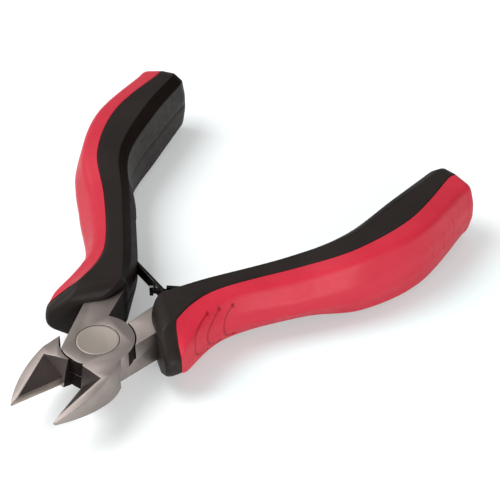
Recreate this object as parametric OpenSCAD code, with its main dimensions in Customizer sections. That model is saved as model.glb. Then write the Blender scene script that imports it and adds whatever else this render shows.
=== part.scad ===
// Mini diagonal cutters: two forged levers on a flush lap-joint rivet, a pair of
// interlocking leaf springs and two-colour moulded grips. Millimetres, +Z up.
// The pivot axis is Z, Z = 0 is the flat back of the joint, the jaws point to -X.
// Every half is drawn in its closed position, handle towards +Y and jaw towards -Y,
// and is then opened or mirrored into place.

/* [Opening] */
// Angle between the two halves as the springs hold them open
opening_angle = 24.4; // [16:0.2:30]

/* [Joint] */
// Thickness of the joint and of the shanks
joint_thick = 7.4; // [6.6:0.1:9]
// Radius of the round lap plate of each half
plate_radius = 7.5; // [6.8:0.1:8.4]
// Gap between a lap plate and the shoulder that it turns in
shoulder_gap = 0.3; // [0.25:0.01:0.5]
// Gap between the two lap faces
lap_gap = 0.06; // [0.04:0.01:0.1]
// Distance from the pivot to the straight outer flank of a half
flank_offset = 6.3; // [5.6:0.1:6.8]
// Turn of that flank towards the handle
flank_turn = 3.9; // [2:0.1:6]
// Diameter of the rivet head that lies flush in the top
rivet_head_d = 8.9; // [7:0.1:10]
// Depth of the rivet head
rivet_head_depth = 1.6; // [1:0.1:2]
// Diameter of the rivet between its heads
rivet_d = 5.6; // [4:0.1:6.4]
// Diameter of the spread end of the rivet in the back
rivet_back_d = 7.8; // [6.6:0.1:8.6]
// Depth of the spread end
rivet_back_depth = 1.3; // [0.8:0.1:1.8]
// Radial running clearance of the rivet in the upper half
rivet_clear = 0.05; // [0.02:0.01:0.09]

/* [Jaws] */
// Pivot to jaw tip
jaw_reach = 23; // [20:0.1:25]
// Half width of the closed head
head_half = 6.5; // [6:0.1:7.2]
// Pivot to the point where the head starts to taper
taper_start = 8.8; // [8:0.1:10]
// Radius of the tapering flank
taper_radius = 27; // [22:1:50]
// Half width of the closed tips
tip_half = 0.5; // [0.4:0.1:1]
// Space between each cutting edge and the closing plane
edge_clear = 0.03; // [0.02:0.01:0.06]
// Pivot to the root of the cutting edge
edge_root = 9.5; // [8.6:0.1:11]
// Height of the cutting edge at its root
edge_root_z = 2.1; // [1.6:0.1:2.8]
// Height of the cutting edge at the tip
edge_tip_z = 5.1; // [4.8:0.1:5.2]
// Height of the top face at the tip
tip_top_z = 5.5; // [5.4:0.1:6]
// Height of the bottom face at the tip
tip_bottom_z = 4.8; // [3.8:0.1:4.8]
// Pivot to the start of the slope of the top face
top_slope_start = 9; // [8:0.1:11]
// Pivot to the start of the slope of the bottom face
bottom_slope_start = 6.5; // [6:0.1:9]
// Slope of the pocket that leads down to the cutting edge
bevel_angle = 41; // [36:1:48]
// Slope of the narrow ground land along the cutting edge
land_angle = 66; // [58:1:74]
// Width of that land
land_width = 0.5; // [0.3:0.05:0.8]
// Relief under the cutting edge
relief_angle = 40; // [26:1:44]
// Pivot to the end wall of the pocket at the top face
pocket_end = 8; // [7.9:0.1:9]
// Turn of the end wall seen from above
pocket_turn = 23; // [10:1:35]
// Lean of the end wall
pocket_lean = 15; // [5:1:25]

/* [Levers] */
// Space between the inner wall of a shank and the closing plane
shank_inner = 0.7; // [0.5:0.05:1.2]
// Pivot to the end of the full-thickness shank inside the grip
shank_end = 18.6; // [18:0.1:20]
// Thickness of the tang inside the grip
tang_thick = 5.4; // [4:0.2:6]
// Width of the tang
tang_width = 4.4; // [3:0.1:4.8]
// Grip wall between the tang and the inner side
tang_wall = 1.3; // [1.2:0.05:1.6]

/* [Springs] */
// Height of the leaf springs
leaf_height = 3; // [2.6:0.1:3.4]
// Thickness of the leaf springs
leaf_thick = 0.6; // [0.4:0.05:0.7]
// Pivot to the point where the two springs hook together
hook_reach = 22.5; // [21:0.1:24]
// Length of each spring past the hook point
leaf_past = 2.2; // [2:0.1:2.8]
// Length of the bend where a spring leaves its seat
leaf_bend = 1.6; // [1.2:0.1:2.4]
// Height of the slot in the left spring
slot_height = 1.6; // [1.4:0.1:1.8]
// Length of that slot
slot_length = 2.6; // [2.2:0.1:2.8]
// Height of the tongue on the right spring
tongue_height = 1.1; // [0.8:0.1:1.2]
// Length of the tongue before the hook point
tongue_lead = 1.4; // [1.2:0.1:1.8]
// Height of the head at the end of the tongue
tongue_head_height = 2.3; // [2:0.1:2.5]
// Length of that head
tongue_head_length = 0.8; // [0.6:0.05:0.9]
// Diameter of the small rivets that hold the springs
spring_rivet_d = 1.4; // [1.2:0.1:1.8]
// Head diameter of those rivets
spring_rivet_head_d = 2.4; // [2:0.1:2.8]
// Head height of those rivets
spring_rivet_head = 0.5; // [0.3:0.05:0.5]
// Depth of those rivets in the tang
spring_rivet_depth = 3; // [2:0.1:3.6]

/* [Grips] */
// Grip height at the belly, from bottom to top
grip_height = 16.2; // [15:0.1:17.4]
// Pivot to the inner front corner of the grip
grip_front = 17.2; // [16.6:0.1:18]
// Pivot to the tip of the thumb guard
guard_front = 8.6; // [8.2:0.1:10]
// Pivot to the tail end of the grip
grip_tail = 87.9; // [85:0.1:94]
// Closing plane to the inner front corner
front_inner = 0.4; // [0.3:0.05:0.6]
// Closing plane to the tip of the thumb guard
guard_outer = 15; // [14.2:0.1:16.2]
// Closing plane to the inner side at the waist
waist_inner = 1.9; // [1.4:0.1:2.8]
// Closing plane to the outer side at the waist
waist_outer = 13.1; // [12.5:0.1:14]
// Closing plane to the inner side at the belly
belly_inner = 15.3; // [13.6:0.1:16.4]
// Closing plane to the outer side at the belly
belly_outer = 28.9; // [27.4:0.1:31]
// Closing plane to the inner side at the tail
tail_inner = 14; // [12.4:0.1:16]
// Closing plane to the outer side at the tail
tail_outer = 25.9; // [24.4:0.1:28]
// Width of the inner chamfer at the belly
inner_chamfer = 3; // [2.6:0.1:4]
// How far the inner side bulges past the foot of its chamfer at the waist
inner_bulge = 1.2; // [0.8:0.1:1.6]
// Height of the inner chamfer
inner_chamfer_height = 1.7; // [1.3:0.1:2.4]
// Width of the outer chamfer at the belly
outer_chamfer = 6; // [5:0.1:7]
// How far the outer side bulges past the foot of its chamfer at the waist
outer_bulge = 3; // [1.6:0.1:3.4]
// Height of the outer chamfer at the thumb guard
outer_chamfer_height = 4.2; // [3.4:0.1:5]
// Rounding of the long edges
edge_round = 1.4; // [0.8:0.1:2]
// Depth of the domed front of the collar
front_dome = 3.8; // [2:0.1:4.2]
// Length of the rounded tail
tail_dome = 2.6; // [2:0.1:4]
// Seam between the black sleeve and the red panel
seam_gap = 0.05; // [0.03:0.01:0.1]
// Seam between the collar and the front of the red panel
collar_seam = 0.3; // [0.2:0.05:0.5]

/* [Hidden] */
$fn = 96;
half_open = opening_angle / 2;
mid_z = joint_thick / 2;
overrun = 1;
reach_all = grip_tail + jaw_reach;

// Lists of shares run along a grip from its front to its tail, one entry a station
inner_x_shares = [0, 0.13, 0.4, 0.58, 0.8, 1];
outer_x_shares = [0, 0.2, 0.4, 0.56, 0.763, 1];
inner_rise_shares = [0.566, 1];
outer_rise_shares = [0.484, 0.858];
height_shares = [0.82, 0.81, 0.75, 0.95, 1.02, 0.93];
inner_chamfer_shares = [0.34, 0.92, 0.95, 0.8, 1, 0.9];
inner_bulge_shares = [0.24, 0.93, 0.97, 0.3, 0.25, 0.5];
outer_chamfer_shares = [1.1, 0.9, 1, 0.91, 0.94, 1.02];
outer_height_shares = [0.85, 0.3, 0.12, 0.16, 0.2, 0.27];
outer_bulge_shares = [0, 0.5, 0.95, 0.6, 0.38, 0.4];
side_flat_share = 0.25;
ease_share = 0.45;
tail_flat_share = 0.85;
tail_middle_share = 0.5;
front_flat_share = 0.58;
front_middle_share = 0.7;
parting_share = 0.95;
collar_share = 0.006;
sweep_share = 0.072;
ring_share = 0.025;
tang_ring_share = 0.02;
tang_end_share = 0.74;
leaf_front_share = 0.252;
leaf_back_share = 0.38;
window_front_share = 0.2;
window_back_share = 0.4;
spring_rivet_share = 0.33;
corner_steps = 3;
dome_steps = 4;
sweep_steps = 6;
bend_steps = 6;
window_clear = 0.3;

// Stations that follow from these shares of the whole grip
tail_station = len(height_shares) - 1;
collar_station = tail_station * collar_share;
parting_sweep = tail_station * sweep_share;
station_step = tail_station * ring_share;
tang_step = tail_station * tang_ring_share;
tang_last = tail_station * tang_end_share;
leaf_front_station = tail_station * leaf_front_share;
leaf_back_station = tail_station * leaf_back_share;
window_front_station = tail_station * window_front_share;
window_back_station = tail_station * window_back_share;
spring_rivet_station = tail_station * spring_rivet_share;

steel = [0.6, 0.57, 0.54];
rivet_steel = [0.68, 0.65, 0.61];
spring_black = [0.06, 0.06, 0.06];
sleeve_black = [0.19, 0.18, 0.18];
panel_red = [0.8, 0.15, 0.22];

function mix(a, b, f) = a + (b - a) * f;
function unit(v) = v / norm(v);
function backwards(list) = [for (i = [len(list) - 1:-1:0]) list[i]];
function turned(v, angle) = [
    v.x * cos(angle) - v.y * sin(angle),
    v.x * sin(angle) + v.y * cos(angle)
];

// A smooth curve through all points of a list, one unit of t from point to point
function pick(list, i) = list[max(0, min(len(list) - 1, i))];
function through(list, t) =
    let (i = min(floor(t), len(list) - 2), f = t - i)
    let (a = pick(list, i - 1), b = pick(list, i), c = pick(list, i + 1), d = pick(list, i + 2))
    b + ((c - a) * f + (2 * a - 5 * b + 4 * c - d) * f^2 + (3 * b - a - 3 * c + d) * f^3) / 2;

// Centre of an arc of radius r from a to b that bulges to the left of that way
function arc_centre(a, b, r) =
    let (chord = b - a, half = norm(chord) / 2)
    (a + b) / 2 + unit([chord.y, -chord.x]) * sqrt(r^2 - half^2);

// The two long curves of a grip in plan
body_end = grip_tail - tail_dome;
inner_length = body_end - grip_front;
outer_length = body_end - guard_front;
inner_y = [
    front_inner, waist_inner,
    mix(waist_inner, belly_inner, inner_rise_shares[0]),
    mix(waist_inner, belly_inner, inner_rise_shares[1]),
    belly_inner, tail_inner
];
outer_y = [
    guard_outer, waist_outer,
    mix(waist_outer, belly_outer, outer_rise_shares[0]),
    mix(waist_outer, belly_outer, outer_rise_shares[1]),
    belly_outer, tail_outer
];
function knots(start, length, shares, sides) =
    [for (i = [0:len(shares) - 1]) [start + length * shares[i], sides[i]]];
inner_knots = knots(grip_front, inner_length, inner_x_shares, inner_y);
outer_knots = knots(guard_front, outer_length, outer_x_shares, outer_y);
function inner_at(t) = through(inner_knots, t);
function outer_at(t) = through(outer_knots, t);
function across(t) = unit(outer_at(t) - inner_at(t));
function width_at(t) = norm(outer_at(t) - inner_at(t));
function half_height(t) = grip_height / 2 * through(height_shares, t);
function inner_chamfer_at(t) = inner_chamfer * through(inner_chamfer_shares, t);
function inner_bulge_at(t) = inner_bulge * through(inner_bulge_shares, t);
function outer_chamfer_at(t) = outer_chamfer * through(outer_chamfer_shares, t);
function outer_bulge_at(t) = outer_bulge * through(outer_bulge_shares, t);
function outer_fall_at(t) = outer_chamfer_height * through(outer_height_shares, t);

// The parting line starts at the thumb guard and sweeps to the top of the outer chamfer
function eased_share(f) = 1 - (1 - min(1, f))^3;
function parting_at(t) =
    width_at(t) - outer_chamfer_at(t) * parting_share * eased_share(t / parting_sweep);
function parting_height(t) =
    let (past = parting_at(t) - width_at(t) + outer_chamfer_at(t))
    half_height(t) - outer_fall_at(t) * min(1, past / (outer_chamfer_at(t) - outer_bulge_at(t)));

// A corner p between a and b, eased on both sides over less than half of the shorter side
function eased(a, p, b) =
    let (r = min(edge_round, ease_share * norm(a - p), ease_share * norm(b - p)))
    let (s = p + unit(a - p) * r, e = p + unit(b - p) * r)
    [for (k = [0:corner_steps]) let (f = k / corner_steps) mix(mix(s, p, f), mix(p, e, f), f)];
function mirrored(chain) = [for (q = backwards(chain)) [q.x, -q.y]];

// Outline of a grip across its length: x from the inner to the outer side, y up
function inner_side(t) =
    let (h = half_height(t), top = [inner_chamfer_at(t), h], face = [0, h * side_flat_share])
    let (foot = [inner_bulge_at(t), h - inner_chamfer_height])
    concat(
        eased([0, 0], face, foot),
        eased(face, foot, top)
    );
function outer_side(t) =
    let (w = width_at(t), h = half_height(t), face = [w, h * side_flat_share])
    let (top = [w - outer_chamfer_at(t), h], foot = [w - outer_bulge_at(t), h - outer_fall_at(t)])
    concat(
        eased(top, foot, face),
        eased(foot, face, [w, 0])
    );
function parting_side(t) =
    let (steps = 2 * corner_steps + 1)
    [for (k = [0:steps]) [parting_at(t), parting_height(t) * (1 - k / (steps + 1))]];
function sleeve_chain(t, whole) = concat(
    inner_side(t),
    [[inner_chamfer_at(t), half_height(t)], [width_at(t) - outer_chamfer_at(t), half_height(t)]],
    whole ? outer_side(t) : parting_side(t)
);
function panel_chain(t) =
    concat([[parting_at(t) + seam_gap, parting_height(t)]], outer_side(t));
function closed_ring(chain) = concat(chain, mirrored(chain));

// A flat outline set up in space at station t, scaled about a middle place and moved along
function set_up(ring, t, scale_by = 1, middle_share = 0.5, along = 0) =
    let (base = inner_at(t), d = across(t), m = width_at(t) * middle_share)
    [for (q = ring)
        let (s = m + (q.x - m) * scale_by)
        [base.x + d.x * s + along, base.y + d.y * s, mid_z + q.y * scale_by]];

// Ends of a grip: rings that shrink to a flat share of their size over the depth of a dome
function dome_angle(k) = 90 * k / dome_steps;
function dome_scale(k, flat_share) = 1 - (1 - flat_share) * (1 - cos(dome_angle(k)));
function front_dome_ring(ring, k) =
    let (scale_by = dome_scale(k, front_flat_share), along = -front_dome * sin(dome_angle(k)))
    set_up(ring, 0, scale_by, front_middle_share, along);
function tail_dome_ring(ring, k) =
    let (scale_by = dome_scale(k, tail_flat_share), along = tail_dome * sin(dome_angle(k)))
    set_up(ring, tail_station, scale_by, tail_middle_share, along);

// Skin over a row of rings with the same number of points
module loft(rings) {
    n = len(rings[0]);
    last = len(rings) - 1;
    sides = [for (i = [0:last - 1], j = [0:n - 1])
        let (a = i * n + j, b = i * n + (j + 1) % n)
        each [[a, b, a + n], [b, b + n, a + n]]];
    front = [for (j = [n - 1:-1:0]) j];
    back = [for (j = [0:n - 1]) last * n + j];
    polyhedron(points = [for (r = rings) each r], faces = concat(sides, [front, back]));
}

// The outer flank of a half limits everything on its handle side
module below_flank() {
    rotate(flank_turn)
        translate([-reach_all, flank_offset - 2 * reach_all])
            square(2 * reach_all);
}

module plate_plan() {
    intersection() {
        circle(plate_radius);
        below_flank();
    }
}

// The shank steps back where the grip wall begins
module shank_plan() {
    step = front_inner + tang_wall;
    intersection() {
        polygon([
            [0, shank_inner], [grip_front, shank_inner], [grip_front, step],
            [shank_end, step], [shank_end, guard_outer], [0, guard_outer]
        ]);
        below_flank();
    }
}

// The tang follows the inner side of the grip at a steady wall
function tang_edge(t, offset) = inner_at(t) + across(t) * (tang_wall + offset);
tang_stations = [for (t = [0:tang_step:tang_last]) t];
module tang_plan() {
    polygon(concat(
        [for (t = tang_stations) tang_edge(t, 0)],
        [for (t = backwards(tang_stations)) tang_edge(t, tang_width)]
    ));
}

// The jaw in plan, drawn on the +Y side
module jaw_plan() {
    shoulder = [-taper_start, head_half];
    tip = [-jaw_reach, tip_half];
    intersection() {
        translate([-jaw_reach, edge_clear])
            square([jaw_reach, head_half - edge_clear]);
        translate(arc_centre(tip, shoulder, taper_radius))
            circle(taper_radius);
    }
}

// Puts the X axis on the cutting edge, lifted and rolled about it
module on_edge(lift, roll) {
    rise = atan2(edge_tip_z - edge_root_z, jaw_reach - edge_root);
    translate([-edge_root, edge_clear, edge_root_z + lift])
        rotate([0, rise, 0])
            rotate([roll, 0, 0])
                children();
}

module above_edge() {
    translate([-2 * jaw_reach, -overrun, 0])
        cube([4 * jaw_reach, 2 * jaw_reach, 2 * jaw_reach]);
}

// The pocket above the cutting edge: a broad bevel, a steeper land and an end wall
module pocket() {
    intersection() {
        union() {
            on_edge(land_width * (tan(land_angle) - tan(bevel_angle)), bevel_angle) above_edge();
            on_edge(0, land_angle) above_edge();
        }
        translate([-pocket_end, 0, joint_thick])
            rotate([0, pocket_lean, pocket_turn])
                translate([-2 * jaw_reach, -2 * jaw_reach, -2 * jaw_reach])
                    cube([2 * jaw_reach, 4 * jaw_reach, 4 * jaw_reach]);
    }
}

module relief() {
    on_edge(0, relief_angle)
        translate([-2 * jaw_reach, -jaw_reach, -jaw_reach])
            cube([2 * jaw_reach, jaw_reach, jaw_reach]);
}

// A block above or below a slope that leaves the level at x = -start
module jaw_slope(start, level, turn, side) {
    translate([-start, 0, level])
        rotate([0, turn, 0])
            translate([-2 * jaw_reach, -jaw_reach, min(0, side) * jaw_reach])
                cube([4 * jaw_reach, 2 * jaw_reach, jaw_reach]);
}

// Everything that is ground away from the jaw on the +Y side
module jaw_cuts() {
    pocket();
    relief();
    top_fall = atan2(joint_thick - tip_top_z, jaw_reach - top_slope_start);
    jaw_slope(top_slope_start, joint_thick, -top_fall, 1);
    bottom_rise = atan2(tip_bottom_z, jaw_reach - bottom_slope_start);
    jaw_slope(bottom_slope_start, 0, bottom_rise, -1);
}

// One forged lever; an upper one has its lap plate at the top
module lever(upper) {
    lap = mid_z + (upper ? lap_gap : -lap_gap) / 2;
    difference() {
        union() {
            translate([0, 0, upper ? lap : 0])
                linear_extrude(upper ? joint_thick - lap : lap)
                    plate_plan();
            difference() {
                linear_extrude(joint_thick) {
                    shank_plan();
                    mirror([0, 1]) jaw_plan();
                }
                translate([0, 0, upper ? -overrun : lap])
                    cylinder(r = plate_radius + shoulder_gap, h = mid_z + overrun + lap_gap / 2);
            }
            translate([0, 0, mid_z - tang_thick / 2])
                linear_extrude(tang_thick)
                    tang_plan();
        }
        mirror([0, 1, 0]) jaw_cuts();
        rivet_bore(upper);
        spring_rivet_place()
            cylinder(d = spring_rivet_d, h = spring_rivet_depth);
    }
}

// The rivet turns in the upper lever and is fast in the lower one
module rivet_bore(upper) {
    gap = upper ? rivet_clear : 0;
    translate([0, 0, -overrun])
        cylinder(d = rivet_d + 2 * gap, h = joint_thick + 2 * overrun);
    if (upper)
        translate([0, 0, joint_thick - rivet_head_depth - gap])
            cylinder(d = rivet_head_d + 2 * gap, h = rivet_head_depth + gap + overrun);
    else
        translate([0, 0, -overrun])
            cylinder(d = rivet_back_d, h = rivet_back_depth + overrun);
}

// Opens a half drawn in its closed position, or its mirror image for the right handle
module opened(left) {
    rotate([0, 0, left ? half_open : -half_open])
        mirror([0, left ? 0 : 1, 0])
            children();
}

// Path of a leaf spring: along the tang, round a bend, straight to the hook and past it
leaf_stations = [for (t = [leaf_back_station:-tang_step:leaf_front_station - tang_step / 2]) t];
leaf_root = tang_edge(leaf_front_station, -leaf_thick / 2);
leaf_way = unit(leaf_root - tang_edge(leaf_front_station + tang_step, -leaf_thick / 2));
leaf_corner = leaf_root + leaf_way * leaf_bend;
hook_point = turned([hook_reach, 0], -half_open);
arm_way = unit(hook_point - leaf_corner);
arm_start = leaf_corner + arm_way * leaf_bend;
arm_end = hook_point + arm_way * leaf_past;
function bend_at(f) = mix(mix(leaf_root, leaf_corner, f), mix(leaf_corner, arm_start, f), f);
function bend_way(f) = unit(mix(leaf_way, arm_way, f));
function bend_side(f, offset) = bend_at(f) + turned(bend_way(f), -90) * offset;
function leaf_side(offset) = concat(
    [for (t = leaf_stations) tang_edge(t, offset - leaf_thick / 2)],
    [for (k = [1:bend_steps]) bend_side(k / bend_steps, offset)],
    [arm_end + turned(arm_way, -90) * offset]
);

module leaf_blank() {
    outer = leaf_side(leaf_thick / 2);
    inner = leaf_side(-leaf_thick / 2);
    difference() {
        translate([0, 0, mid_z - leaf_height / 2])
            linear_extrude(leaf_height)
                polygon(concat(outer, backwards(inner)));
        spring_rivet_place()
            translate([0, 0, -tang_wall])
                cylinder(d = spring_rivet_d, h = 2 * tang_wall);
    }
}

// Origin at the hook point, X along the arm of the spring
module at_hook() {
    translate([hook_point.x, hook_point.y, mid_z])
        rotate([0, 0, atan2(arm_way.y, arm_way.x)])
            children();
}

module leaf_with_slot() {
    difference() {
        leaf_blank();
        at_hook() cube([slot_length, 2 * overrun, slot_height], center = true);
    }
}

// Cuts the leaf down to a given height between two places along its arm
module narrowing(from, to, height) {
    for (side = [-1, 1])
        translate([from, -overrun, side > 0 ? height / 2 : -leaf_height])
            cube([to - from, 2 * overrun, leaf_height - height / 2]);
}

module leaf_with_tongue() {
    neck_end = leaf_past - tongue_head_length;
    difference() {
        leaf_blank();
        at_hook() {
            narrowing(-tongue_lead, neck_end, tongue_height);
            narrowing(neck_end, leaf_past + overrun, tongue_head_height);
        }
    }
}

// Origin on the tang face at the middle of the spring rivet, Z into the tang
module spring_rivet_place() {
    t = spring_rivet_station;
    place = (tang_edge(t - tang_step / 2, 0) + tang_edge(t + tang_step / 2, 0)) / 2;
    way = tang_edge(t + tang_step / 2, 0) - tang_edge(t - tang_step / 2, 0);
    translate([place.x, place.y, mid_z])
        rotate([0, 0, atan2(way.y, way.x)])
            rotate([-90, 0, 0])
                children();
}

module spring_rivet() {
    spring_rivet_place() {
        translate([0, 0, -leaf_thick])
            cylinder(d = spring_rivet_d, h = leaf_thick + spring_rivet_depth);
        translate([0, 0, -leaf_thick - spring_rivet_head])
            cylinder(d = spring_rivet_head_d, h = spring_rivet_head);
    }
}

// Stations of a grip behind the seam between its collar and its red panel
seam_station = collar_station + collar_seam / outer_length * tail_station;
body_stations = concat(
    [seam_station],
    [for (k = [1:sweep_steps]) let (t = parting_sweep * k / sweep_steps) if (t > seam_station) t],
    [for (t = [station_step:station_step:tail_station]) if (t > parting_sweep + station_step / 2) t]
);

// Black sleeve: domed front, whole collar, then cut back at the parting line
module sleeve_blank() {
    collar = closed_ring(sleeve_chain(0, true));
    tail = closed_ring(sleeve_chain(tail_station, false));
    loft(concat(
        [for (k = [dome_steps:-1:1]) front_dome_ring(collar, k)],
        [for (t = [0, collar_station]) set_up(closed_ring(sleeve_chain(t, true)), t)],
        [for (t = body_stations) set_up(closed_ring(sleeve_chain(t, false)), t)],
        [for (k = [1:dome_steps]) tail_dome_ring(tail, k)]
    ));
}

// The crown of the belly is cut flat, so that the part rests on it
module within_height() {
    intersection() {
        children();
        translate([0, 0, mid_z])
            cube([2 * reach_all, 2 * reach_all, grip_height], center = true);
    }
}

module sleeve() {
    difference() {
        within_height() sleeve_blank();
        linear_extrude(joint_thick)
            shank_plan();
        translate([0, 0, mid_z - tang_thick / 2])
            linear_extrude(tang_thick)
                tang_plan();
        spring_window();
    }
}

// Opening in the inner wall of the sleeve that lets the spring out
module spring_window() {
    stations = [for (t = [window_front_station:tang_step / 2:window_back_station]) t];
    height = leaf_height + 2 * window_clear;
    translate([0, 0, mid_z - height / 2])
        linear_extrude(height)
            polygon(concat(
                [for (t = stations) tang_edge(t, -tang_wall - overrun)],
                [for (t = backwards(stations)) tang_edge(t, overrun / 2)]
            ));
}

// Red panel on the outer side of the sleeve
module panel() {
    tail = closed_ring(panel_chain(tail_station));
    within_height()
        loft(concat(
            [for (t = body_stations) set_up(closed_ring(panel_chain(t)), t)],
            [for (k = [1:dome_steps]) tail_dome_ring(tail, k)]
        ));
}

module lower_lever() { color(steel) opened(false) lever(false); }
module upper_lever() { color(steel) opened(true) lever(true); }
module pivot_rivet() {
    color(rivet_steel)
        rotate_extrude()
            polygon([
                [0, 0], [rivet_back_d / 2, 0], [rivet_back_d / 2, rivet_back_depth],
                [rivet_d / 2, rivet_back_depth], [rivet_d / 2, joint_thick - rivet_head_depth],
                [rivet_head_d / 2, joint_thick - rivet_head_depth],
                [rivet_head_d / 2, joint_thick], [0, joint_thick]
            ]);
}
module left_spring() { color(spring_black) opened(true) leaf_with_slot(); }
module right_spring() { color(spring_black) opened(false) leaf_with_tongue(); }
module left_spring_rivet() { color(rivet_steel) opened(true) spring_rivet(); }
module right_spring_rivet() { color(rivet_steel) opened(false) spring_rivet(); }
module left_grip_sleeve() { color(sleeve_black) opened(true) sleeve(); }
module left_grip_panel() { color(panel_red) opened(true) panel(); }
module right_grip_sleeve() { color(sleeve_black) opened(false) sleeve(); }
module right_grip_panel() { color(panel_red) opened(false) panel(); }

lower_lever();
upper_lever();
pivot_rivet();
left_spring();
right_spring();
left_spring_rivet();
right_spring_rivet();
left_grip_sleeve();
left_grip_panel();
right_grip_sleeve();
right_grip_panel();
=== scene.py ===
"""Looks of a pair of mini diagonal cutters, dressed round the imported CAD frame.

Sizes in the classes are millimetres in the part's own frame: the pivot axis is Z, the jaws
point to -X and the handles to +X. Grips are drawn in the closed pose and then opened.
"""
import logging
import math
from contextlib import contextmanager
from dataclasses import dataclass, field
from enum import Enum, IntEnum
from typing import Any, Iterator, Sequence

import bmesh
import bpy
import numpy as np
from mathutils import Matrix, Quaternion, Vector


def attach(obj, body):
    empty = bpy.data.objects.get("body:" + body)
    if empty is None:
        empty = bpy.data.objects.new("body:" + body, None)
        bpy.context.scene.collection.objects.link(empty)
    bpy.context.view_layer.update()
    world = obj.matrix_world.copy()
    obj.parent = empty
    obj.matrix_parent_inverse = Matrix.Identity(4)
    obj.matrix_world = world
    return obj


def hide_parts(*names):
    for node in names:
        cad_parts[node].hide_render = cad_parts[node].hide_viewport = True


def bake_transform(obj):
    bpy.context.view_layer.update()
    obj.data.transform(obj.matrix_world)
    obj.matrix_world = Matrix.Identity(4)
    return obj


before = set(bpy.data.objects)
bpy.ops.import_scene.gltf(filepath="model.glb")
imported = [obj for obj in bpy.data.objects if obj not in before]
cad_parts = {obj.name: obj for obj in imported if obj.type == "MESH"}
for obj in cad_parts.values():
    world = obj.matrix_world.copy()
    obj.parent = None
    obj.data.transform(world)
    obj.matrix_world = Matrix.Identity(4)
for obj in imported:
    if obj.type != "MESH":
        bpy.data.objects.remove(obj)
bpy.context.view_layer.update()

MM = 0.001
HALF_OPEN = 12.2
JOINT_THICK = 7.4
MID_Z = JOINT_THICK / 2
FLOOR_Z = -4.4
GROOVE_SHADE_LAYER = "pressed"
TINY = 1e-9
NOISE_RANGE = (0.3, 0.7)
NOISE_ROUGHNESS = 0.55
MOULDED_SHARP = 40.0
STEEL_SHARP = 30.0
WELD = 0.002
FLAT_ANGLE = 0.6
EDGE_SEGMENTS = 2
RIM_STEPS = 5
WHITE = (1.0, 1.0, 1.0, 1.0)
LOG = logging.getLogger("cutters")

Array = np.ndarray
Colour = tuple[float, float, float, float]
Triple = tuple[float, float, float]
Piece = bpy.types.Object
Socket = bpy.types.NodeSocket


def linear(code: str) -> Colour:
    """Give the linear colour of six hex digits."""
    parts = [int(code[i:i + 2], 16) / 255 for i in (0, 2, 4)]
    return (*[((c + 0.055) / 1.055) ** 2.4 if c > 0.04045 else c / 12.92 for c in parts], 1.0)


def mix(a: Any, b: Any, share: Any) -> Any:
    """Blend from a to b by a share."""
    return a + (b - a) * share


def unit(vectors: Array) -> Array:
    """Scale vectors along the last axis to length 1."""
    return vectors / np.maximum(np.linalg.norm(vectors, axis=-1, keepdims=True), TINY)


def run(points: Array) -> Array:
    """Give the length along each row of points, from 0 at its start."""
    steps = np.linalg.norm(np.diff(points, axis=-2), axis=-1)
    return np.concatenate([np.zeros_like(steps[..., :1]), np.cumsum(steps, axis=-1)], axis=-1)


def turned(angle: float, axis: str) -> Matrix:
    """Give the rotation by an angle in degrees about an axis."""
    return Matrix.Rotation(math.radians(angle), 3, axis)


def soft_limit(values: Array, limit: float, ease: float) -> Array:
    """Hold values below a limit, with a rounded knee.

    Args:
        values: Heights to hold down.
        limit: The level that is never passed.
        ease: How far from the limit the knee begins.

    Returns:
        The heights after the limit.
    """
    share = np.clip(0.5 + 0.5 * (limit - values) / ease, 0, 1)
    return mix(limit, values, share) - ease * share * (1 - share)


class Half(Enum):
    """The two halves of the cutters, named by the side of their handle."""

    LEFT = "left"
    RIGHT = "right"

    @property
    def body(self) -> str:
        """Name the CAD body that carries this half."""
        return "upper_half" if self is Half.LEFT else "lower_half"

    @property
    def side(self) -> int:
        """Give 1 for the handle on +Y and -1 for the one on -Y."""
        return 1 if self is Half.LEFT else -1

    def opened(self, points: Array) -> Array:
        """Turn closed points to where this half stands at rest.

        Args:
            points: Rows of x, y, z drawn for the left handle, closed.

        Returns:
            The rows for this half, open.
        """
        turn = math.radians(HALF_OPEN) * self.side
        x, y, z = points[..., 0], points[..., 1] * self.side, points[..., 2]
        return np.stack([
            x * math.cos(turn) - y * math.sin(turn),
            x * math.sin(turn) + y * math.cos(turn),
            z,
        ], axis=-1)


class SteelSlot(IntEnum):
    """Material slots of a lever."""

    LEVER = 0
    POCKET = 1
    LAND = 2
    EDGE = 3
    # Near-black painted shade on walls in the gaps of the joint and between the handles.
    WALL = 4


class LeafSlot(IntEnum):
    """Material slots of a leaf spring."""

    SPRING = 0
    SPRING_EDGE = 1
    # The lighter edge steel, used here as a painted glint on small faces at the hook.
    EDGE = 2


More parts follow.
